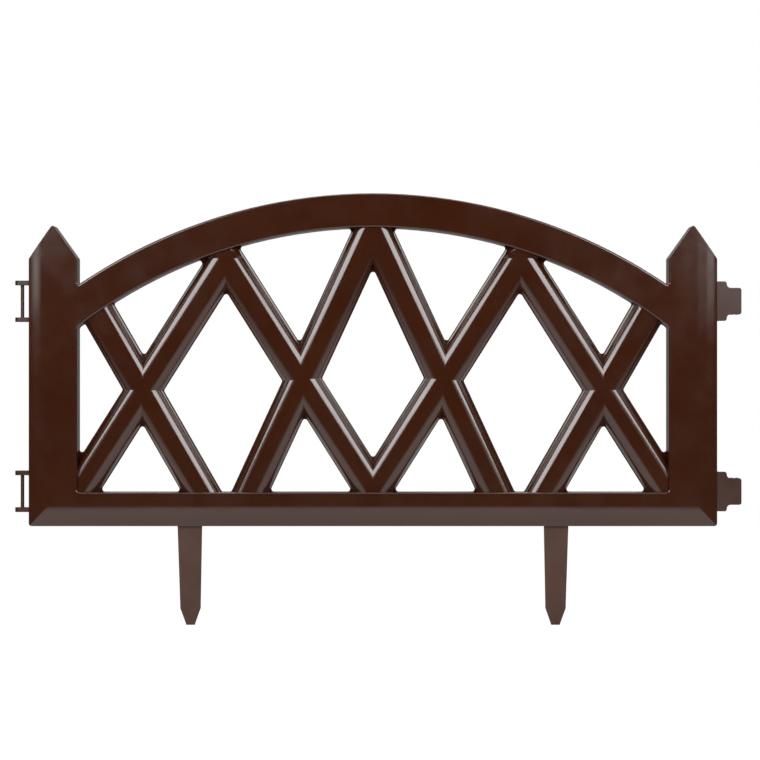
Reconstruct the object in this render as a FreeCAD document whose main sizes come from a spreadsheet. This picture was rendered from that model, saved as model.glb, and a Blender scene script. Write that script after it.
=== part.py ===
import FreeCAD, Part
import os

import Sketcher

# A moulded plastic garden edging section, in millimetres. X runs along the fence, Z up.
# The front faces -Y. The origin is on the bottom rail's underside, at the middle of its length and depth.
# The moulding is an open-backed shell: two picket posts, an arched top rail, a bottom rail and a lattice
# of crossing bars. Pins on the left post take the snap hooks of the next section. Two spikes anchor it.

SIZES = [
    ("panel_width", 577.5, "Outer side of one post to the other"),
    ("frame_depth", 16.0, "Front face to back edge of the frame"),
    ("wall", 2.0, "Wall of the moulded shell"),
    ("post_width", 41.0, "Width of a picket post"),
    ("shoulder_height", 224.6, "Where a post's head starts to slope"),
    ("head_rise", 28.7, "Height of a post's head before its tip is rounded"),
    ("tip_radius", 2.0, "Rounding of a post's tip"),
    ("foot_radius", 2.5, "Rounding of the frame's bottom corners"),
    ("rail_height", 28.4, "Height of the bottom rail"),
    ("arch_height", 279.0, "Top of the arch over the rail's underside"),
    ("arch_spring_drop", 22.8, "Post's shoulder down to where the arch's top meets the post"),
    ("arch_band", 28.4, "Width of the arched rail"),
    ("bevel_width", 11.0, "Width of the bevel along the frame's outer edges"),
    ("bevel_drop", 4.0, "How far that bevel falls back"),
    ("bevel_bend", 38.0, "Rounding where the bevel leaves the front face"),
    ("corner_radius", 3.0, "Rounding of the window's corners"),
    ("spring_radius", 1.2, "Rounding where the arch's top leaves a post"),
    ("edge_radius", 1.8, "Rounding of the frame's front edges"),
    ("lip_radius", 1.5, "Rounding of a post head's front edges"),
    ("bar_width", 29.4, "Width of a lattice bar at the back"),
    ("bar_crown_width", 24.8, "Width of a lattice bar's front before it is rounded"),
    ("bar_round", 10.5, "Rounding of a lattice bar's shoulders"),
    ("bar_setback", 2.5, "Lattice crown behind the frame's front face"),
    ("bar_back_setback", 2.0, "Lattice back edge in front of the frame's back edge"),
    ("rim_depth", 2.6, "Depth of the straight rim round each opening of the lattice"),
    ("opening_radius", 2.4, "Rounding of the openings' corners"),
    ("peak_drop", 6.7, "Arch's underside to where the outer bars' middles meet"),
    ("peak_overrun", 8.5, "How far those bars run past that point"),
    ("centre_rise", 1.6, "How far the middles of the centre bars meet over the arch's underside"),
    ("side_head_inset", 16.8, "Post's inner side to the head of the second bar"),
    ("foot_spread", 20.6, "Peak to the foot of the bar on each side of it, along the rail"),
    ("lower_coupling_height", 29.0, "Middle of the lower pin and hook"),
    ("upper_coupling_drop", 35.8, "Post's shoulder down to the middle of the upper pin and hook"),
    ("coupling_setback", 2.0, "Pin and hook axis behind the frame's mid-depth"),
    ("pin_diameter", 3.0, "Coupling pin"),
    ("pin_reach", 6.4, "Post side to the pin's axis"),
    ("lug_reach", 12.4, "Post side to the end of a lug"),
    ("lug_depth", 9.0, "Lug from front to back"),
    ("lug_thickness", 3.7, "Height of a lug"),
    ("lug_gap", 27.2, "Clear height between two lugs"),
    ("lug_round", 4.2, "Rounding of a lug's end, seen from above"),
    ("hook_reach", 20.5, "Post side to the end of a hook"),
    ("hook_height", 22.3, "Height of a hook"),
    ("hook_root_reach", 8.2, "Post side to the end of a hook's root"),
    ("hook_root_height", 33.2, "Height of a hook's root"),
    ("hook_depth", 11.0, "Hook from front to back"),
    ("hook_round", 2.0, "Rounding of a hook's corners"),
    ("hook_sweep", 3.2, "Rounding where a hook leaves its root"),
    ("hook_wall", 2.0, "Wall of a hook"),
    ("socket_reach", 16.2, "Post side to the socket's axis"),
    ("socket_clearance", 0.05, "Socket wall to pin, on the radius"),
    ("socket_mouth", 2.5, "Width of the slot that a pin snaps through"),
    ("spike_reach", 154.0, "Middle of the rail to a spike's axis"),
    ("spike_width", 20.5, "Width of a spike at the ground"),
    ("spike_low_width", 17.0, "Width of a spike where its point starts"),
    ("spike_tip_width", 7.0, "Width of a spike's end"),
    ("spike_point", 14.0, "Length of a spike's point"),
    ("spike_length", 84.0, "Spike below the rail's underside"),
    ("spike_depth", 8.6, "Spike from front to back at the ground"),
    ("spike_tip_depth", 2.6, "Spike from front to back at its end"),
    ("spike_wall", 2.6, "Front plate and fin of a spike"),
    ("spike_back_setback", 0.4, "Spike's back in front of the frame's back edge"),
    ("tang_height", 14.0, "Spike above the rail's underside"),
    ("spike_clearance", 0.15, "Spike to the sides of its slot"),
    ("rib_thickness", 1.6, "Ribs behind the front face"),
    ("rib_setback", 3.0, "Ribs in front of the frame's back edge"),
    ("post_rib_low", 46.0, "Height of a post's lowest rib"),
    ("arch_rib_bays", 3.75, "Spaces between the arch's ribs in half of the arch"),
]

doc = FreeCAD.newDocument("garden_edging_section")
sheet = doc.addObject("Spreadsheet::Sheet", "sizes")
for row, (alias, value, meaning) in enumerate(SIZES, 1):
    sheet.set(f"A{row}", meaning)
    sheet.set(f"B{row}", str(value))
    sheet.setAlias(f"B{row}", alias)
doc.recompute()
size = {alias: sheet.get(alias) for alias, value, meaning in SIZES}

# Places that several pieces share, as expressions on the sheet.
HALF_WIDTH = "sizes.panel_width / 2"
POST_INSIDE = "(sizes.panel_width / 2 - sizes.post_width)"
POST_MIDDLE = "(sizes.panel_width / 2 - sizes.post_width / 2)"
FRONT = "-sizes.frame_depth / 2"
BACK = "sizes.frame_depth / 2"
TIP_HEIGHT = "(sizes.shoulder_height + sizes.head_rise)"
ARCH_RISE = "(sizes.arch_height - sizes.shoulder_height + sizes.arch_spring_drop)"
ARCH_RADIUS = f"(({POST_INSIDE}^2 + {ARCH_RISE}^2) / (2 * {ARCH_RISE}))"
ARCH_CENTRE = f"(sizes.arch_height - {ARCH_RADIUS})"
ARCH_INSIDE = f"({ARCH_RADIUS} - sizes.arch_band)"

half_width = size["panel_width"] / 2
post_inside = half_width - size["post_width"]
front = -size["frame_depth"] / 2
back = size["frame_depth"] / 2
tip_height = size["shoulder_height"] + size["head_rise"]
near = 0.01


def bind(feature, **expressions):
    for name, expression in expressions.items():
        feature.setExpression(name.replace("__", "."), expression)


def new_sketch(body, name, plane, lift=None):
    """A sketch on one of the body's own origin planes, moved along its normal by lift."""
    sketch = body.newObject("Sketcher::SketchObject", name)
    support = next(item for item in body.Origin.OriginFeatures if item.Role == plane)
    sketch.AttachmentSupport = (support, "")
    sketch.MapMode = "FlatFace"
    if lift:
        sketch.setExpression("AttachmentOffset.Base.z", lift)
    return sketch


def place(sketch, geometry, point, across, up):
    """Ties one point of the sketch to its two distances from the sketch's origin."""
    for direction, expression in (("DistanceX", across), ("DistanceY", up)):
        spot = sketch.getPoint(geometry, point)
        value = spot.x if direction == "DistanceX" else spot.y
        index = sketch.addConstraint(Sketcher.Constraint(direction, -1, 1, geometry, point, value))
        sketch.setExpression(f"Constraints[{index}]", expression)


def outline(body, name, plane, *loops, lift=None):
    """A sketch of closed outlines, each a list of corners given as pairs of expressions."""
    sketch = new_sketch(body, name, plane, lift)
    for corners in loops:
        first = sketch.GeometryCount
        count = len(corners)
        turn = FreeCAD.Rotation(FreeCAD.Vector(0, 0, 1), 360 / count)
        start = FreeCAD.Vector(10, 0, 0)
        for _ in corners:
            end = turn.multVec(start)
            sketch.addGeometry(Part.LineSegment(start, end))
            start = end
        for i in range(count):
            after = first + (i + 1) % count
            sketch.addConstraint(Sketcher.Constraint("Coincident", first + i, 2, after, 1))
        for i, (across, up) in enumerate(corners):
            place(sketch, first + i, 1, across, up)
    return sketch


def box_outline(left, right, low, high):
    return [(left, low), (right, low), (right, high), (left, high)]


def extrude(body, kind, name, sketch, length=None, symmetric=False, reverse=False):
    """A pad or pocket of the sketch: to a length, or right through where none is given."""
    feature = body.newObject("PartDesign::" + kind, name)
    feature.Profile = sketch
    if length:
        feature.setExpression("Length", length)
    else:
        feature.Type = "ThroughAll"
    feature.SideType = "Symmetric" if symmetric else "One side"
    feature.Reversed = reverse
    doc.recompute()
    return feature


def edges_where(feature, test):
    return [f"Edge{i}" for i, edge in enumerate(feature.Shape.Edges, 1) if test(edge)]


def faces_where(feature, test):
    return [f"Face{i}" for i, face in enumerate(feature.Shape.Faces, 1) if test(face)]


def round_edges(body, name, base, radius, test):
    """Rounds the edges of the feature that pass the test."""
    fillet = body.newObject("PartDesign::Fillet", name)
    fillet.Base = (base, edges_where(base, test))
    fillet.setExpression("Radius", radius)
    doc.recompute()
    return fillet


def shell(body, name, base, thickness, test):
    """Hollows the feature to a wall, open at the faces that pass the test."""
    hollow = body.newObject("PartDesign::Thickness", name)
    hollow.Base = (base, faces_where(base, test))
    hollow.setExpression("Value", thickness)
    hollow.Join = "Arc"
    hollow.Reversed = True
    doc.recompute()
    return hollow


def runs_along(edge, axis):
    """Whether the edge is straight and parallel to the axis, 0 to 2 for X to Z."""
    box = edge.BoundBox
    lengths = [box.XLength, box.YLength, box.ZLength]
    return lengths.pop(axis) > near and max(lengths) < near


def lies_at(edge, axis, level):
    """Whether the whole edge or face lies at one level along the axis."""
    box = edge.BoundBox
    low = (box.XMin, box.YMin, box.ZMin)[axis]
    high = (box.XMax, box.YMax, box.ZMax)[axis]
    return abs(low - level) < near and abs(high - level) < near


# The frame is drawn as one moulding, so its faces run on from member to member without a step.
frame = doc.addObject("PartDesign::Body", "frame_moulding")
rail_sketch = outline(frame, "rail_outline", "XZ_Plane",
                      box_outline("-" + HALF_WIDTH, HALF_WIDTH, "0", "sizes.rail_height"))
extrude(frame, "Pad", "rail_block", rail_sketch, "sizes.frame_depth", symmetric=True)


def picket(side):
    """The front view of a post, whose head slopes both ways from a tip."""
    return [
        (f"{side}1 * ({HALF_WIDTH})", "0"),
        (f"{side}1 * ({HALF_WIDTH})", "sizes.shoulder_height"),
        (f"{side}1 * {POST_MIDDLE}", TIP_HEIGHT),
        (f"{side}1 * {POST_INSIDE}", "sizes.shoulder_height"),
        (f"{side}1 * {POST_INSIDE}", "0"),
    ]


posts_sketch = outline(frame, "post_outlines", "XZ_Plane", picket("-"), picket("+"))
extrude(frame, "Pad", "post_blocks", posts_sketch, "sizes.frame_depth", symmetric=True)

arch_sketch = outline(frame, "arch_section", "YZ_Plane",
                      box_outline(FRONT, BACK, "sizes.arch_height - sizes.arch_band", "sizes.arch_height"))
axis_line = arch_sketch.addGeometry(
    Part.LineSegment(FreeCAD.Vector(0, -100, 0), FreeCAD.Vector(10, -100, 0)), True)
place(arch_sketch, axis_line, 1, "0", ARCH_CENTRE)
place(arch_sketch, axis_line, 2, "10", ARCH_CENTRE)
arch = frame.newObject("PartDesign::Revolution", "arch_block")
arch.Profile = arch_sketch
arch.ReferenceAxis = (arch_sketch, ["Axis0"])
arch.Midplane = True
bind(arch, Angle=f"2 * asin(({POST_INSIDE} + sizes.post_width / 4) / {ARCH_INSIDE})")
doc.recompute()

# A broad shallow bevel runs up the outer side of both posts and along the bottom of the frame.
side_bevels = outline(frame, "side_bevel_outlines", "XY_Plane", *[
    [
        (f"{side}1 * ({HALF_WIDTH} - sizes.bevel_width)", FRONT),
        (f"{side}1 * ({HALF_WIDTH})", f"{FRONT} + sizes.bevel_drop"),
        (f"{side}1 * ({HALF_WIDTH} + sizes.bevel_width)", f"{FRONT} - sizes.bevel_drop"),
    ]
    for side in "-+"
])
extrude(frame, "Pocket", "side_bevels", side_bevels, symmetric=True)
foot_bevel = outline(frame, "foot_bevel_outline", "YZ_Plane", [
    (FRONT, "sizes.bevel_width"),
    (f"{FRONT} + sizes.bevel_drop", "0"),
    (f"{FRONT} - sizes.bevel_drop", "-sizes.bevel_width"),
])
bevelled = extrude(frame, "Pocket", "foot_bevel", foot_bevel, symmetric=True)

bends = round_edges(frame, "bevel_bends", bevelled, "sizes.bevel_bend", lambda edge: (
    lies_at(edge, 1, front)
    and (lies_at(edge, 2, size["bevel_width"])
         or runs_along(edge, 2) and abs(edge.CenterOfMass.x) > half_width - size["bevel_width"] - near)))


def upright_at_post(edge):
    """Whether the edge runs from front to back at a post's inner side."""
    return runs_along(edge, 1) and abs(abs(edge.CenterOfMass.x) - post_inside) < near


# The lattice's window and the foot of the arch's top have rounded corners, seen from the front.
spring = size["shoulder_height"] - size["arch_spring_drop"]
window_corners = round_edges(frame, "window_corners", bends, "sizes.corner_radius", lambda edge: (
    upright_at_post(edge) and near < edge.CenterOfMass.z < spring - near))
corners = round_edges(frame, "spring_corners", window_corners, "sizes.spring_radius", lambda edge: (
    upright_at_post(edge) and abs(edge.CenterOfMass.z - spring) < near))

open_back = shell(frame, "open_back", corners, "sizes.wall", lambda face: lies_at(face, 1, back))
rims = round_edges(frame, "front_rims", open_back, "sizes.edge_radius", lambda edge: (
    lies_at(edge, 1, front)
    and (edge.Curve.TypeId == "Part::GeomCircle"
         or lies_at(edge, 2, size["rail_height"])
         or runs_along(edge, 2) and abs(abs(edge.CenterOfMass.x) - post_inside) < near)))

feet = round_edges(frame, "foot_corners", rims, "sizes.foot_radius", lambda edge: (
    runs_along(edge, 1)
    and abs(abs(edge.CenterOfMass.x) - half_width) < near
    and abs(edge.CenterOfMass.z) < near))
tips = round_edges(frame, "post_tips", feet, "sizes.tip_radius", lambda edge: (
    runs_along(edge, 1) and abs(edge.CenterOfMass.z - tip_height) < near))
round_edges(frame, "head_lips", tips, "sizes.lip_radius", lambda edge: (
    lies_at(edge, 1, front)
    and edge.BoundBox.XLength > near
    and edge.BoundBox.ZMin > size["shoulder_height"] - near
    and abs(edge.CenterOfMass.x) > post_inside))

# Each spike's tang goes up through a slot in the rail's underside, between two ribs.
SPIKE_BACK = f"({BACK} - sizes.spike_back_setback)"
SPIKE_FRONT = f"({SPIKE_BACK} - sizes.spike_depth)"


def slot_outline(side):
    reach = "(sizes.spike_width / 2 + sizes.spike_clearance)"
    return box_outline(f"{side}1 * sizes.spike_reach - {reach}", f"{side}1 * sizes.spike_reach + {reach}",
                       f"{SPIKE_FRONT} - sizes.spike_clearance", f"{SPIKE_BACK} + sizes.spike_clearance")


slots_sketch = outline(frame, "spike_slot_outlines", "XY_Plane", slot_outline("-"), slot_outline("+"))
extrude(frame, "Pocket", "spike_slots", slots_sketch, "sizes.wall + 0.5", reverse=True)


# Ribs stiffen the channels from behind. In the bottom rail, a pair also guides each spike's tang.
RIB_BACK = f"({BACK} - sizes.rib_setback)"
HALF_WALL = "sizes.wall / 2"


def bevelled_rib(outer, outer_sign, inner_level):
    """A rib in the channel of a bevelled member: its outline across the member and from front to back."""
    def reach(distance):
        return f"{outer} {outer_sign} ({distance})"
    return [
        (reach(HALF_WALL), RIB_BACK),
        (reach(HALF_WALL), f"{FRONT} + sizes.bevel_drop + {HALF_WALL}"),
        (reach("sizes.bevel_width"), f"{FRONT} + {HALF_WALL}"),
        (f"{inner_level} - {outer_sign}1 * sizes.edge_radius", f"{FRONT} + {HALF_WALL}"),
        (f"{inner_level} - {outer_sign}1 * {HALF_WALL}", f"{FRONT} + sizes.edge_radius"),
        (f"{inner_level} - {outer_sign}1 * {HALF_WALL}", RIB_BACK),
    ]


def repeated(name, rib, direction, length, count):
    pattern = frame.newObject("PartDesign::LinearPattern", name)
    pattern.Originals = [rib]
    pattern.Direction = direction
    pattern.Occurrences = count
    pattern.setExpression("Length", length)
    frame.Tip = pattern
    doc.recompute()
    return pattern


SPIKE_GUIDE = "(sizes.spike_width / 2 + sizes.spike_clearance + sizes.rib_thickness / 2)"
rail_ribs = ["0", "sizes.spike_reach / 2", "-sizes.spike_reach / 2"]
for side in "-+":
    rail_ribs += [f"{side}1 * (sizes.spike_reach {inward} {SPIKE_GUIDE})" for inward in "-+"]
for number, across in enumerate(rail_ribs, 1):
    section = [(depth, level) for level, depth in bevelled_rib("0", "+", "sizes.rail_height")]
    rib_sketch = outline(frame, f"rail_rib_outline_{number}", "YZ_Plane", section, lift=across)
    extrude(frame, "Pad", f"rail_rib_{number}", rib_sketch, "sizes.rib_thickness", symmetric=True)

post_ribs = outline(frame, "post_rib_outlines", "XY_Plane",
                    bevelled_rib("-" + HALF_WIDTH, "+", "-" + POST_INSIDE),
                    bevelled_rib(HALF_WIDTH, "-", POST_INSIDE), lift="sizes.post_rib_low")
low_ribs = extrude(frame, "Pad", "lowest_post_ribs", post_ribs, "sizes.rib_thickness")
repeated("post_ribs", low_ribs, (post_ribs, ["N_Axis"]),
         "sizes.shoulder_height - sizes.post_rib_low - sizes.wall", 5)

arch_rib_sketch = outline(frame, "arch_rib_outline", "YZ_Plane", [
    (RIB_BACK, f"sizes.arch_height - sizes.arch_band + {HALF_WALL}"),
    (f"{FRONT} + sizes.edge_radius", f"sizes.arch_height - sizes.arch_band + {HALF_WALL}"),
    (f"{FRONT} + {HALF_WALL}", "sizes.arch_height - sizes.arch_band + sizes.edge_radius"),
    (f"{FRONT} + {HALF_WALL}", "sizes.arch_height - sizes.edge_radius"),
    (f"{FRONT} + sizes.edge_radius", f"sizes.arch_height - {HALF_WALL}"),
    (RIB_BACK, f"sizes.arch_height - {HALF_WALL}"),
], lift="-sizes.rib_thickness / 2")
top_rib = extrude(frame, "Pad", "top_arch_rib", arch_rib_sketch, "sizes.rib_thickness")
for name, backwards in (("arch_ribs_right", False), ("arch_ribs_left", True)):
    fan = frame.newObject("PartDesign::PolarPattern", name)
    fan.Originals = [top_rib]
    fan.Axis = (arch_sketch, ["Axis0"])
    fan.Mode = "Spacing"
    fan.Occurrences = 3
    fan.Reversed = backwards
    bind(fan, Offset=f"asin({POST_INSIDE} / {ARCH_INSIDE}) / sizes.arch_rib_bays")
    frame.Tip = fan
    doc.recompute()


# The members of the moulding meet face to face at the posts' inner sides.
def cutter(name, across, length, up, height):
    """A plain block around one member of the frame, deeper than the frame."""
    block = doc.addObject("Part::Box", name)
    bind(block, Length=length, Width="sizes.frame_depth * 2", Height=height,
         Placement__Base__x=across, Placement__Base__y="-sizes.frame_depth", Placement__Base__z=up)
    return block


def combined(kind, name, base, tool):
    """A boolean of two objects: Part::Fuse, Part::Cut or Part::Common."""
    piece = doc.addObject(kind, name)
    piece.Base = base
    piece.Tool = tool
    doc.recompute()
    return piece


def member(name, label, base, tool):
    """The part of the base that lies within the tool, as a finished piece."""
    piece = combined("Part::Common", name, base, tool)
    piece.Label = label
    return piece


pieces = []
for label, across in (("left_post", f"-{HALF_WIDTH} - 10"), ("right_post", POST_INSIDE)):
    block = cutter(label + "_block", across, "sizes.post_width + 10", "-10", f"{TIP_HEIGHT} + 20")
    pieces.append(member(label + "_member", label, frame, block))
inner_length = f"2 * {POST_INSIDE}"
rail_block = cutter("rail_cutter", "-" + POST_INSIDE, inner_length, "-10", "sizes.rail_height + 12")
pieces.append(member("rail_member", "bottom_rail", frame, rail_block))
arch_block = cutter("arch_cutter", "-" + POST_INSIDE, inner_length,
                    "sizes.rail_height + 5", "sizes.arch_height")
pieces.append(member("arch_member", "arch_rail", frame, arch_block))

# Eight domed bars cross between the rail and the arch, four on each side of the middle.
PEAK_ACROSS = f"-{POST_INSIDE} / 2"
SIDE_HEAD_ACROSS = f"-({POST_INSIDE} - sizes.side_head_inset)"


def under_arch(across):
    """The height of the arch's underside at a distance from the middle."""
    return f"({ARCH_CENTRE} + sqrt({ARCH_INSIDE}^2 - ({across})^2))"


PEAK_LEVEL = f"({under_arch(PEAK_ACROSS)} - sizes.peak_drop)"
CENTRE_LEVEL = "(sizes.arch_height - sizes.arch_band + sizes.centre_rise)"
# Each bar's foot, its head, and how far it runs past its head.
BARS = {
    "outer_bar": ("-" + POST_INSIDE, PEAK_ACROSS, PEAK_LEVEL, "sizes.peak_overrun"),
    "side_bar": (f"{PEAK_ACROSS} - sizes.foot_spread", SIDE_HEAD_ACROSS,
                 under_arch(SIDE_HEAD_ACROSS), "sizes.arch_band"),
    "peak_bar": ("0", PEAK_ACROSS, PEAK_LEVEL, "sizes.peak_overrun"),
    "centre_bar": (f"{PEAK_ACROSS} + sizes.foot_spread", "0", CENTRE_LEVEL, "sizes.arch_band"),
}
BAR_FRONT = f"({FRONT} + sizes.bar_setback)"
BAR_BACK = f"({BACK} - sizes.bar_back_setback)"


def lattice_bar(name, foot, head, head_level, overrun, section, rounding):
    """A bar of the given section, drawn down from its head and turned towards its foot on the rail."""
    bar = doc.addObject("PartDesign::Body", name)
    section_sketch = outline(bar, name + "_section", "XY_Plane", section)
    block = extrude(bar, "Pad", name + "_block", section_sketch, overrun)
    block.SideType = "Two sides"
    bind(block, Length2="sizes.panel_width")
    doc.recompute()
    if rounding:
        level = min(edge.BoundBox.YMin for edge in block.Shape.Edges)
        round_edges(bar, name + "_shoulders", block, rounding, lambda edge: (
            runs_along(edge, 2) and lies_at(edge, 1, level)))
    bar.Placement = FreeCAD.Placement(FreeCAD.Vector(), FreeCAD.Rotation(FreeCAD.Vector(0, 1, 0), 10))
    bind(bar, Placement__Base__x=head, Placement__Base__z=head_level,
         Placement__Rotation__Angle=f"atan2({head} - ({foot}); {head_level} - sizes.rail_height)")
    return bar


def bar_section(half_back, half_front, front_level, back_level):
    return [("-" + half_back, back_level), ("-" + half_front, front_level),
            (half_front, front_level), (half_back, back_level)]


def crossed_bars(name, section, shorter="0", rounding=None):
    """The eight bars joined: the left four and their mirror images."""
    left = doc.addObject("Part::MultiFuse", name + "_left")
    left.Shapes = [
        lattice_bar(f"{name}_{bar}", foot, head, level, f"{overrun} - {shorter}", section, rounding)
        for bar, (foot, head, level, overrun) in BARS.items()]
    right = doc.addObject("Part::Mirroring", name + "_right")
    right.Source = left
    right.Normal = FreeCAD.Vector(1, 0, 0)
    return combined("Part::Fuse", name, left, right)


window_disc = doc.addObject("Part::Cylinder", "window_disc")
window_disc.Placement = FreeCAD.Placement(
    FreeCAD.Vector(), FreeCAD.Rotation(FreeCAD.Vector(1, 0, 0), -90))
bind(window_disc, Radius=ARCH_INSIDE, Height="sizes.frame_depth * 2",
     Placement__Base__y="-sizes.frame_depth", Placement__Base__z=ARCH_CENTRE)
window_block = cutter("window_block", "-" + POST_INSIDE, inner_length,
                      "sizes.rail_height", "sizes.arch_height")
window = combined("Part::Common", "window", window_disc, window_block)

# A straight rim at the back of the lattice rounds the corners of its openings.
HALF_BAR = "sizes.bar_width / 2"
rim_slab = doc.addObject("Part::Box", "rim_slab")
bind(rim_slab, Length=inner_length, Width="sizes.rim_depth", Height="sizes.arch_height",
     Placement__Base__x="-" + POST_INSIDE, Placement__Base__y=f"{BAR_BACK} - sizes.rim_depth")
rim_sheet = combined("Part::Common", "rim_sheet", window, rim_slab)
footprints = crossed_bars("footprint", bar_section(HALF_BAR, HALF_BAR, FRONT, BACK))
sharp_openings = combined("Part::Cut", "sharp_openings", rim_sheet, footprints)
springing = max(edge.CenterOfMass.z for edge in window.Shape.Edges if upright_at_post(edge))


def between_bars(edge):
    """Whether the edge is an opening's corner that the frame doesn't round by itself."""
    return runs_along(edge, 1) and not (
        upright_at_post(edge) and abs(edge.CenterOfMass.z - springing) < near)


def rounding_at(corner, opening):
    """The rounding of an opening's corner, less where a side that meets there is short."""
    sides = [side.Length for side in opening.Edges
             if side.BoundBox.YLength < near and side.distToShape(corner)[0] < near]
    return min(size["opening_radius"], 0.3 * min(sides))


openings = doc.addObject("Part::Fillet", "openings")
openings.Base = sharp_openings
openings.Edges = [
    (number, rounding_at(edge, opening), rounding_at(edge, opening))
    for opening in sharp_openings.Shape.Solids
    for number, edge in enumerate(sharp_openings.Shape.Edges, 1)
    if between_bars(edge) and any(edge.isSame(side) for side in opening.Edges)]
rims = combined("Part::Cut", "opening_rims", rim_sheet, openings)

# The bars' domed skin and that rim are one shell, open at the back.
skin = crossed_bars("skin", bar_section(
    HALF_BAR, "sizes.bar_crown_width / 2", BAR_FRONT, BAR_BACK), rounding="sizes.bar_round")
hollow = crossed_bars("hollow", bar_section(
    f"({HALF_BAR} - sizes.wall)", "(sizes.bar_crown_width / 2 - sizes.wall)",
    f"({BAR_FRONT} + sizes.wall)", BACK), "sizes.wall", "sizes.bar_round - sizes.wall")
rimmed = combined("Part::Fuse", "rimmed_skin", skin, rims)
lattice_shell = combined("Part::Cut", "lattice_shell", rimmed, hollow)
pieces.append(member("lattice_member", "lattice", lattice_shell, window))

# A pin bracket is two lugs on the left post with a thin pin held between them.
AXIS_DEPTH = "sizes.coupling_setback"
COUPLINGS = {
    "upper": "(sizes.shoulder_height - sizes.upper_coupling_drop)",
    "lower": "sizes.lower_coupling_height",
}
PIN_ACROSS = f"(-{HALF_WIDTH} - sizes.pin_reach)"


def circle(sketch, across, up, radius):
    """A circle in the sketch, its centre and radius given as expressions."""
    geometry = sketch.addGeometry(Part.Circle(FreeCAD.Vector(1, 1, 0), FreeCAD.Vector(0, 0, 1), 1))
    place(sketch, geometry, 3, across, up)
    index = sketch.addConstraint(Sketcher.Constraint("Radius", geometry, 1))
    sketch.setExpression(f"Constraints[{index}]", radius)


def lugs_outline(middle):
    """The front view of both lugs, the lower first."""
    ends = (f"-{HALF_WIDTH} - sizes.lug_reach", f"-{HALF_WIDTH}")
    low = f"{middle} - sizes.lug_gap / 2"
    high = f"{middle} + sizes.lug_gap / 2"
    return (box_outline(*ends, f"{low} - sizes.lug_thickness", low),
            box_outline(*ends, high, f"{high} + sizes.lug_thickness"))


for level, middle in COUPLINGS.items():
    bracket = doc.addObject("PartDesign::Body", level + "_bracket")
    bracket.Label = level + "_pin_bracket"
    lug_sketch = outline(bracket, level + "_lug_outlines", "XZ_Plane", *lugs_outline(middle),
                         lift=f"-{AXIS_DEPTH}")
    lugs = extrude(bracket, "Pad", level + "_lug_blocks", lug_sketch, "sizes.lug_depth", symmetric=True)
    lug_end = -half_width - size["lug_reach"]
    round_edges(bracket, level + "_lug_ends", lugs, "sizes.lug_round", lambda edge: (
        runs_along(edge, 2) and abs(edge.CenterOfMass.x - lug_end) < near))
    pin_sketch = new_sketch(bracket, level + "_pin_outline", "XY_Plane", middle)
    circle(pin_sketch, PIN_ACROSS, AXIS_DEPTH, "sizes.pin_diameter / 2")
    extrude(bracket, "Pad", level + "_pin", pin_sketch, "sizes.lug_gap + sizes.lug_thickness",
            symmetric=True)
    pieces.append(bracket)

# A hook steps out from the right post and snaps over the next section's pin, so its back is open.
SOCKET_ACROSS = f"({HALF_WIDTH} + sizes.socket_reach)"
SOCKET_RADIUS = "(sizes.pin_diameter / 2 + sizes.socket_clearance)"
HOOK_END = f"({HALF_WIDTH} + sizes.hook_reach)"
HOOK_ROOT_END = f"({HALF_WIDTH} + sizes.hook_root_reach)"
HOOK_BACK = f"({AXIS_DEPTH} + sizes.hook_depth / 2)"
HOOK_FRONT = f"({AXIS_DEPTH} - sizes.hook_depth / 2)"
hook_root_end = half_width + size["hook_root_reach"]
hook_end = half_width + size["hook_reach"]


def hook_outline(middle):
    """The front view of a hook: a tall root and a shorter nose."""
    root = "sizes.hook_root_height / 2"
    nose = "sizes.hook_height / 2"
    return [
        (HALF_WIDTH, f"{middle} - {root}"), (HOOK_ROOT_END, f"{middle} - {root}"),
        (HOOK_ROOT_END, f"{middle} - {nose}"), (HOOK_END, f"{middle} - {nose}"),
        (HOOK_END, f"{middle} + {nose}"), (HOOK_ROOT_END, f"{middle} + {nose}"),
        (HOOK_ROOT_END, f"{middle} + {root}"), (HALF_WIDTH, f"{middle} + {root}"),
    ]


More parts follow.
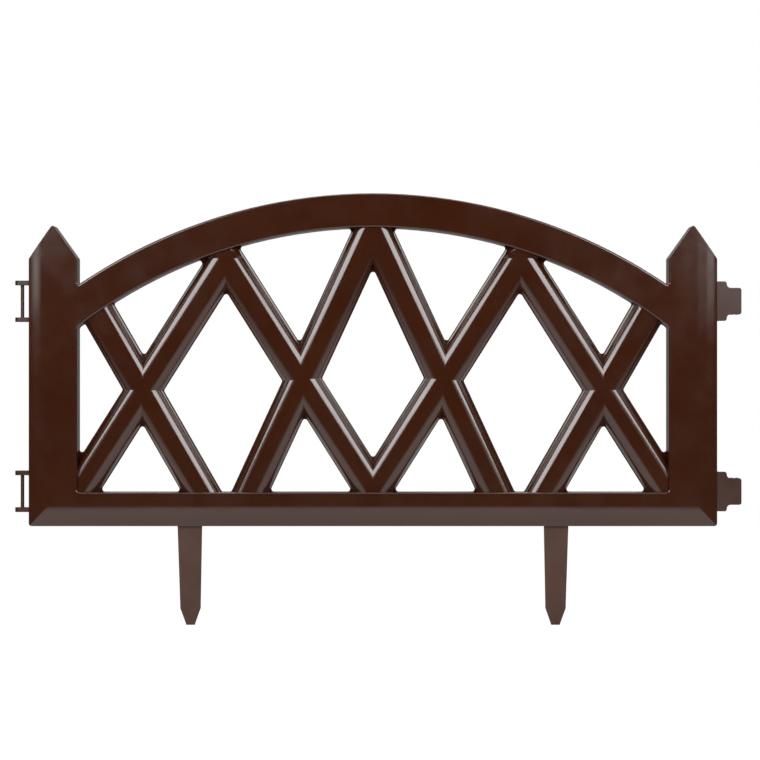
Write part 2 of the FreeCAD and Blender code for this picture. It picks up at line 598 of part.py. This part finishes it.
for level, middle in COUPLINGS.items():
    hook = doc.addObject("PartDesign::Body", level + "_hook_body")
    hook.Label = level + "_hook"
    hook_sketch = outline(hook, level + "_hook_outline", "XZ_Plane", hook_outline(middle),
                          lift=f"-{AXIS_DEPTH}")
    block = extrude(hook, "Pad", level + "_hook_block", hook_sketch, "sizes.hook_depth", symmetric=True)
    nose_half = size["hook_height"] / 2
    centre_level = (block.Shape.BoundBox.ZMin + block.Shape.BoundBox.ZMax) / 2
    swept = round_edges(hook, level + "_hook_sweeps", block, "sizes.hook_sweep", lambda edge: (
        runs_along(edge, 1) and abs(edge.CenterOfMass.x - hook_root_end) < near
        and abs(abs(edge.CenterOfMass.z - centre_level) - nose_half) < near))
    round_edges(hook, level + "_hook_corners", swept, "sizes.hook_round", lambda edge: (
        runs_along(edge, 1)
        and (abs(edge.CenterOfMass.x - hook_end) < near
             or abs(edge.CenterOfMass.x - hook_root_end) < near
             and abs(edge.CenterOfMass.z - centre_level) > nose_half + near)))
    socket_sketch = new_sketch(hook, level + "_socket_outline", "XY_Plane")
    circle(socket_sketch, SOCKET_ACROSS, AXIS_DEPTH, SOCKET_RADIUS)
    extrude(hook, "Pocket", level + "_socket", socket_sketch, symmetric=True)
    mouth_sketch = outline(hook, level + "_mouth_outline", "XY_Plane", box_outline(
        f"{SOCKET_ACROSS} - sizes.socket_mouth / 2", f"{SOCKET_ACROSS} + sizes.socket_mouth / 2",
        AXIS_DEPTH, HOOK_BACK))
    extrude(hook, "Pocket", level + "_mouth", mouth_sketch, symmetric=True)
    hollow_sketch = outline(hook, level + "_hollow_outline", "XY_Plane", box_outline(
        f"{HALF_WIDTH} + sizes.hook_wall", f"{SOCKET_ACROSS} - {SOCKET_RADIUS} - sizes.hook_wall",
        f"{HOOK_FRONT} + sizes.hook_wall", HOOK_BACK))
    extrude(hook, "Pocket", level + "_hollow", hollow_sketch, symmetric=True)
    pieces.append(hook)

# A spike is a tapered front plate with a fin behind it, drawn in the middle and moved to each side.
TANG_TOP = "sizes.tang_height"
POINT_LEVEL = "(sizes.spike_point - sizes.spike_length)"


def spike_outline():
    """The front view of a spike, from its tang down to its point."""
    right = [
        ("sizes.spike_width / 2", TANG_TOP), ("sizes.spike_width / 2", "0"),
        ("sizes.spike_low_width / 2", POINT_LEVEL), ("sizes.spike_tip_width / 2", "-sizes.spike_length"),
    ]
    return right + [("-" + across, level) for across, level in reversed(right)]


for label, side in (("left_stake", "-"), ("right_stake", "+")):
    spike = doc.addObject("PartDesign::Body", label + "_body")
    spike.Label = label
    outer_sketch = outline(spike, label + "_outline", "XZ_Plane", spike_outline(), lift=f"-{SPIKE_BACK}")
    extrude(spike, "Pad", label + "_block", outer_sketch, "sizes.spike_depth")
    tip_front = f"({SPIKE_BACK} - sizes.spike_tip_depth)"
    slope_sketch = outline(spike, label + "_slope_outline", "YZ_Plane", [
        (SPIKE_FRONT, "0"), (tip_front, "-sizes.spike_length"),
        (tip_front, "-sizes.spike_length - 5"), (f"{SPIKE_FRONT} - 5", "-sizes.spike_length - 5"),
        (f"{SPIKE_FRONT} - 5", "0")])
    extrude(spike, "Pocket", label + "_slope", slope_sketch, symmetric=True)
    fin_side = f"{SPIKE_FRONT} + sizes.spike_wall"
    for fin_name, reverse in (("_left_of_fin", False), ("_right_of_fin", True)):
        lift = "-sizes.spike_wall / 2" if not reverse else "sizes.spike_wall / 2"
        fin_sketch = outline(spike, label + fin_name + "_outline", "YZ_Plane", [
            (fin_side, f"{TANG_TOP} + 1"), (fin_side, "0"), (SPIKE_BACK, "-sizes.spike_length + 6"),
            (f"{SPIKE_BACK} + 1", "-sizes.spike_length + 6"), (f"{SPIKE_BACK} + 1", f"{TANG_TOP} + 1"),
        ], lift=lift)
        extrude(spike, "Pocket", label + fin_name, fin_sketch, "sizes.spike_width", reverse=reverse)
    bind(spike, Placement__Base__x=f"{side}1 * sizes.spike_reach")
    pieces.append(spike)

doc.recompute()
for item in doc.Objects:
    if "Invalid" in item.State or "Error" in item.State:
        raise RuntimeError(f"{item.Name} could not be built")
for piece in pieces:
    if piece.Shape.isNull() or not piece.Shape.isValid():
        raise RuntimeError(f"{piece.Label} has no valid shape")

os.makedirs("parts", exist_ok=True)
for piece in pieces:
    piece.Shape.exportStep(f"parts/{piece.Label}.step")
    print(piece.Label, round(piece.Shape.Volume), "cubic mm,", len(piece.Shape.Solids), "solid")
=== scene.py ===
import math

import bpy
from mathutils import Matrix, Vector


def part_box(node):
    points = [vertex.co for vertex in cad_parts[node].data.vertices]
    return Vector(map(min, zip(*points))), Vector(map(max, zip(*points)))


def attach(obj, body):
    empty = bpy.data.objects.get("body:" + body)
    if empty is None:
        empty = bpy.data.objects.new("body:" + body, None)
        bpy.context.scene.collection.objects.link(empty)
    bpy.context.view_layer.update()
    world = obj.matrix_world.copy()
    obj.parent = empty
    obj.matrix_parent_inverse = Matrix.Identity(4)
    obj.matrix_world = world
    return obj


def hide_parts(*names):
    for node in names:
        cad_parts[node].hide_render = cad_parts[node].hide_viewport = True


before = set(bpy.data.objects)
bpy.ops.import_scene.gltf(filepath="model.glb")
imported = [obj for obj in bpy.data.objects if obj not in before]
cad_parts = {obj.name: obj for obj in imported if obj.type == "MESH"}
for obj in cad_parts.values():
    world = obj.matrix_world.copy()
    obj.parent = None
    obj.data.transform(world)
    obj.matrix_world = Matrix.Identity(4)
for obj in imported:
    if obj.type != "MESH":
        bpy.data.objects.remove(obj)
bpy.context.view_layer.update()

# The camera looks straight at the front of the section, as the photograph does, through a long lens
# from a metre and a half away. The rail's underside is at height zero, and the spikes reach below it.
view_width = 0.6358
view_centre = (0.0059, 0.1226)
lens_length = 85.0
sensor_width = 36.0
front_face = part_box("left_post")[0].y
camera_distance = view_width * lens_length / sensor_width
bpy.ops.object.select_all(action="DESELECT")
bpy.ops.object.camera_add(
    location=(view_centre[0], front_face - camera_distance, view_centre[1]),
    rotation=(math.radians(90), 0, 0))
camera = bpy.context.object
camera.data.lens = lens_length
camera.data.sensor_width = sensor_width
bpy.context.scene.camera = camera
bpy.context.scene.view_settings.view_transform = "Standard"

# The moulding is injection-moulded polypropylene in a dark chocolate brown. Its front is polished to a
# gloss, with the faint waves and flow marks that thin-walled mouldings have.
brown = (0.0190, 0.0040, 0.0008, 1.0)
worn_brown = (0.0235, 0.0057, 0.0015, 1.0)
gloss_roughness = 0.13


def material_of(name):
    """A new material with its shader and the object's own coordinates."""
    material = bpy.data.materials.new(name)
    material.use_nodes = True
    tree = material.node_tree
    shader = tree.nodes["Principled BSDF"]
    place = tree.nodes.new("ShaderNodeTexCoord")
    return material, tree, shader, place


def noise(tree, place, scale, detail, roughness):
    """A noise of the given scale on the object's own coordinates."""
    texture = tree.nodes.new("ShaderNodeTexNoise")
    texture.inputs["Scale"].default_value = scale
    texture.inputs["Detail"].default_value = detail
    texture.inputs["Roughness"].default_value = roughness
    tree.links.new(place.outputs["Object"], texture.inputs["Vector"])
    return texture


def blend_colours(tree, source, low, high, first, second):
    """Two colours, blended by where the source lies between low and high."""
    ramp = tree.nodes.new("ShaderNodeValToRGB")
    ramp.color_ramp.elements[0].position = low
    ramp.color_ramp.elements[0].color = first
    ramp.color_ramp.elements[1].position = high
    ramp.color_ramp.elements[1].color = second
    tree.links.new(source, ramp.inputs["Fac"])
    return ramp


def spread(tree, source, low, high):
    """A number that runs from low to high as the source runs from 0.35 to 0.65."""
    span = tree.nodes.new("ShaderNodeMapRange")
    span.inputs["From Min"].default_value = 0.35
    span.inputs["From Max"].default_value = 0.65
    span.inputs["To Min"].default_value = low
    span.inputs["To Max"].default_value = high
    tree.links.new(source, span.inputs["Value"])
    return span


def raise_bumps(tree, shader, source, height):
    """Bumps on the shader where the source is high, with their height in metres."""
    bump = tree.nodes.new("ShaderNodeBump")
    bump.inputs["Strength"].default_value = 1.0
    bump.inputs["Distance"].default_value = height
    tree.links.new(source, bump.inputs["Height"])
    tree.links.new(bump.outputs["Normal"], shader.inputs["Normal"])


moulding, tree, shader, place = material_of("brown_moulding")
flow = noise(tree, place, 14.0, 4.0, 0.6)
tone = blend_colours(tree, flow.outputs["Fac"], 0.3, 0.7, brown, worn_brown)
tree.links.new(tone.outputs["Color"], shader.inputs["Base Color"])
haze = noise(tree, place, 45.0, 3.0, 0.55)
dullness = spread(tree, haze.outputs["Fac"], gloss_roughness, gloss_roughness + 0.06)
tree.links.new(dullness.outputs["Result"], shader.inputs["Roughness"])
waves = noise(tree, place, 22.0, 1.0, 0.4)
raise_bumps(tree, shader, waves.outputs["Fac"], 0.00018)
shader.inputs["IOR"].default_value = 1.5

# The posts, rails and lattice are one moulding, so its faces run on smoothly over the broad bevels and
# the bars' rounded shoulders. Where a CAD piece has such a face, a merged copy of it is shown, and the
# copy's shading follows the true roundness.
millimetre = 0.001


def rounded_copy(node_name, direction_at):
    """A merged copy of a CAD piece, shown in its place and shaded by the directions that the rule gives."""
    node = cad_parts[node_name]
    bpy.ops.object.select_all(action="DESELECT")
    node.select_set(True)
    bpy.context.view_layer.objects.active = node
    bpy.ops.object.duplicate()
    piece = bpy.context.object
    piece.name = node_name + "_moulded"
    bpy.ops.object.mode_set(mode="EDIT")
    bpy.ops.mesh.select_all(action="SELECT")
    bpy.ops.mesh.remove_doubles(threshold=0.005 * millimetre)
    bpy.ops.object.mode_set(mode="OBJECT")
    bpy.ops.object.shade_smooth()
    corners = []
    for face in piece.data.polygons:
        points = [piece.data.vertices[index].co for index in face.vertices]
        corners.extend(direction_at(points, face.normal))
    piece.data.normals_split_custom_set(corners)
    piece.data.materials.clear()
    piece.data.materials.append(moulding)
    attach(piece, "root")
    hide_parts(node_name)


# The bevel on the frame's outer edges is 11 mm wide and falls back 4 mm. It leaves the front in a wide
# bend, and on the posts this bend runs on softly to the very edge.
half_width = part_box("right_post")[1].x
bevel_width = 11.0 * millimetre
bevel_fall = 4.0 * millimetre
bevel_tilt = math.atan2(bevel_fall, bevel_width)
bend_radius = 38.0 * millimetre
bend_start = bevel_width + bend_radius * math.tan(bevel_tilt / 2)
post_radius = bend_start / math.sin(bevel_tilt)


def bend_tilt(from_edge, radius):
    """How far the front has turned at a distance from the frame's outer edge."""
    turned = (bend_start - from_edge) / radius
    return min(bevel_tilt, math.asin(max(0.0, turned)))


def frame_directions(points, facing):
    """The directions on a face of a post or the rail: its bevels turn outwards or down."""
    if facing.y > -0.9:
        return [facing] * len(points)
    directions = []
    for point in points:
        if abs(facing.x) > abs(facing.z):
            tilt = bend_tilt(half_width - abs(point.x), post_radius)
            directions.append((math.copysign(math.sin(tilt), point.x), -math.cos(tilt), 0))
        else:
            tilt = bend_tilt(point.z, bend_radius)
            directions.append((0, -math.cos(tilt), -math.sin(tilt)))
    return directions


for name in ("left_post", "right_post", "bottom_rail"):
    rounded_copy(name, frame_directions)

# Eight domed bars cross in the lattice. Each is given by its foot on the rail and its head, left of the
# middle, and its shoulders are rounded about lines that run 3.8 mm to each side of its middle.
left_bars = (
    ((-247.75, 28.4), (-123.88, 224.63)),
    ((-144.48, 28.4), (-230.95, 178.89)),
    ((0.0, 28.4), (-123.88, 224.63)),
    ((-103.28, 28.4), (0.0, 252.2)),
)
bars = []
for foot, head in left_bars:
    for side in (1, -1):
        run = (side * (head[0] - foot[0]), head[1] - foot[1])
        length = math.hypot(*run)
        bars.append((side * foot[0] * millimetre, foot[1] * millimetre, run[0] / length, run[1] / length))
shoulder_radius = 10.5 * millimetre
shoulder_reach = 3.79 * millimetre
shoulder_depth = 5.0 * millimetre


def bar_directions(points, facing):
    """The directions on a face of the lattice, which turn about the bar whose shoulder it lies on."""
    for foot_x, foot_z, run_x, run_z in bars:
        if abs(facing.x * run_x + facing.z * run_z) > 0.02:
            continue
        directions = []
        for point in points:
            across = (point.x - foot_x) * run_z - (point.z - foot_z) * run_x
            outward = abs(across) - shoulder_reach
            forward = point.y - shoulder_depth
            if abs(math.hypot(outward, forward) - shoulder_radius) > 0.06 * millimetre or outward < -1e-5:
                break
            sideways = math.copysign(outward / shoulder_radius, across)
            directions.append((sideways * run_z, forward / shoulder_radius, -sideways * run_x))
        if len(directions) == len(points):
            return directions
    return [facing] * len(points)


rounded_copy("lattice", bar_directions)

# The arched rail's faces are plain, so its CAD piece is shown as it is, in the same glossy plastic.
def dress(node_name, material):
    """A CAD piece that keeps its own mesh and takes the material."""
    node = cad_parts[node_name]
    node.data.materials.clear()
    node.data.materials.append(material)


dress("arch_rail", moulding)

# The pin brackets and hooks grow out of the posts in the same shot. They come out of the mould's slides, so
# they are satin and catch more light.
satin = moulding.copy()
satin.name = "satin_brown_moulding"
satin_dullness = satin.node_tree.nodes[dullness.name]
satin_dullness.inputs["To Min"].default_value = 0.32
satin_dullness.inputs["To Max"].default_value = 0.38
for name in ("upper_pin_bracket", "lower_pin_bracket", "upper_hook", "lower_hook"):
    dress(name, satin)

# The spikes are plain wedges that push up into the rail. They are given a greyer brown than the moulding,
# in patches, and a dull, rough finish.
spike_brown = (0.036, 0.0165, 0.011, 1.0)
spike_pale = (0.046, 0.0225, 0.0155, 1.0)
spike_plastic, tree, shader, place = material_of("dull_spike_plastic")
patches = noise(tree, place, 30.0, 4.0, 0.6)
tone = blend_colours(tree, patches.outputs["Fac"], 0.35, 0.65, spike_brown, spike_pale)
tree.links.new(tone.outputs["Color"], shader.inputs["Base Color"])
scuffs = noise(tree, place, 160.0, 4.0, 0.6)
dullness = spread(tree, scuffs.outputs["Fac"], 0.42, 0.58)
tree.links.new(dullness.outputs["Result"], shader.inputs["Roughness"])
shader.inputs["Specular IOR Level"].default_value = 0.2
raise_bumps(tree, shader, scuffs.outputs["Fac"], 0.00003)
for name in ("left_stake", "right_stake"):
    dress(name, spike_plastic)

# A white studio floor under the spikes. Near them it is lit paper that takes the shadows, and further
# off it fades to plain white, so no horizon shows behind the lattice.
floor_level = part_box("left_stake")[0].z
floor_reach = 4.0
bpy.ops.object.select_all(action="DESELECT")
bpy.ops.mesh.primitive_plane_add(size=2 * floor_reach, location=(0, 0, floor_level))
floor = bpy.context.object
floor.name = "studio_floor"
bpy.ops.object.transform_apply(location=True, rotation=True, scale=True)
paper, tree, shader, place = material_of("white_paper")
shader.inputs["Base Color"].default_value = (0.82, 0.82, 0.82, 1)
shader.inputs["Roughness"].default_value = 0.9
nearness = tree.nodes.new("ShaderNodeTexGradient")
nearness.gradient_type = "SPHERICAL"
shrink = tree.nodes.new("ShaderNodeMapping")
shrink.inputs["Scale"].default_value = (0.8, 0.8, 0.0)
tree.links.new(place.outputs["Object"], shrink.inputs["Vector"])
tree.links.new(shrink.outputs["Vector"], nearness.inputs["Vector"])
seen = tree.nodes.new("ShaderNodeLightPath")


def share_of_ray(kind, near_value, far_value, far_at, near_at):
    """A share for one kind of ray that runs from far_value to near_value towards the part."""
    span = tree.nodes.new("ShaderNodeMapRange")
    span.inputs["From Min"].default_value = far_at
    span.inputs["From Max"].default_value = near_at
    span.inputs["To Min"].default_value = far_value
    span.inputs["To Max"].default_value = near_value
    tree.links.new(nearness.outputs["Fac"], span.inputs["Value"])
    share = tree.nodes.new("ShaderNodeMath")
    share.operation = "MULTIPLY"
    tree.links.new(span.outputs["Result"], share.inputs[0])
    tree.links.new(seen.outputs[kind], share.inputs[1])
    return share.outputs["Value"]


def blended(share, base, strength):
    """The base mixed with plain white light of the given strength."""
    light = tree.nodes.new("ShaderNodeEmission")
    light.inputs["Strength"].default_value = strength
    blend = tree.nodes.new("ShaderNodeMixShader")
    tree.links.new(share, blend.inputs["Fac"])
    tree.links.new(base, blend.inputs[1])
    tree.links.new(light.outputs["Emission"], blend.inputs[2])
    return blend.outputs["Shader"]


for_gloss = blended(share_of_ray("Is Glossy Ray", 0.2, 1.0, 0.3, 0.65), shader.outputs["BSDF"], 0.05)
for_camera = blended(share_of_ray("Is Camera Ray", 0.75, 1.0, 0.0, 0.7), for_gloss, 1.0)
tree.links.new(for_camera, tree.nodes["Material Output"].inputs["Surface"])
floor.data.materials.append(paper)

# The room behind the camera is dark, so the flat glossy fronts stay deep brown. The camera sees white.
world = bpy.data.worlds.new("studio")
bpy.context.scene.world = world
world.use_nodes = True
tree = world.node_tree
surround = tree.nodes["Background"]
surround.inputs["Color"].default_value = (1, 1, 1, 1)
surround.inputs["Strength"].default_value = 0.028
white = tree.nodes.new("ShaderNodeBackground")
white.inputs["Color"].default_value = (1, 1, 1, 1)
white.inputs["Strength"].default_value = 1.0
seen = tree.nodes.new("ShaderNodeLightPath")
choice = tree.nodes.new("ShaderNodeMixShader")
tree.links.new(seen.outputs["Is Camera Ray"], choice.inputs["Fac"])
tree.links.new(surround.outputs["Background"], choice.inputs[1])
tree.links.new(white.outputs["Background"], choice.inputs[2])
tree.links.new(choice.outputs["Shader"], tree.nodes["World Output"].inputs["Surface"])


# Soft boxes: two flank the camera and draw the bright lines along the bars' upper shoulders. Low cards put
# the grey streaks on the post heads. One box hangs overhead, one stands at each side for the edges, and
# the rest light the back and the walls that are seen at a slant.
part_middle = 0.12


def soft_box(name, across, rise, distance, width, height, radiance):
    """An area lamp seen from the part's middle at two angles in degrees, facing that middle."""
    level = distance * math.cos(math.radians(rise))
    place = (level * math.sin(math.radians(across)), -level * math.cos(math.radians(across)),
             part_middle + distance * math.sin(math.radians(rise)))
    bpy.ops.object.select_all(action="DESELECT")
    bpy.ops.object.light_add(
        type="AREA", location=place, rotation=(math.radians(90 - rise), 0, math.radians(across)))
    lamp = bpy.context.object
    lamp.name = name
    lamp.data.shape = "RECTANGLE"
    lamp.data.size = width
    lamp.data.size_y = height
    lamp.data.energy = radiance * math.pi * width * height
    lamp.visible_camera = False


soft_box("left_key", -38, 23.5, 1.6, 1.16, 0.60, 11)
soft_box("right_key", 38, 23.5, 1.6, 1.16, 0.60, 11)
for width in (0.24, 0.48):
    soft_box(f"left_head_card_{width}", -44, 7.7, 1.6 + 0.1 * width, width, 0.040, 3.4)
    soft_box(f"left_low_card_{width}", -44, 5.4, 1.6 + 0.1 * width, width, 0.025, 3.4)
soft_box("right_head_card", 45, 7.0, 1.6, 0.36, 0.10, 2.6)
soft_box("right_wide_card", 36, 7.0, 1.65, 0.90, 0.14, 0.7)
soft_box("overhead", 0, 88, 1.3, 1.6, 0.8, 4.2)
soft_box("left_side", -92, 36, 1.8, 0.9, 0.9, 3)
soft_box("right_side", 92, 36, 1.8, 0.9, 0.9, 3)
soft_box("backdrop", 180, 5, 1.6, 2.4, 1.0, 0.2)
soft_box("back_left", -150, 35, 1.7, 1.2, 0.8, 3)
soft_box("back_right", 150, 35, 1.7, 1.2, 0.8, 3)
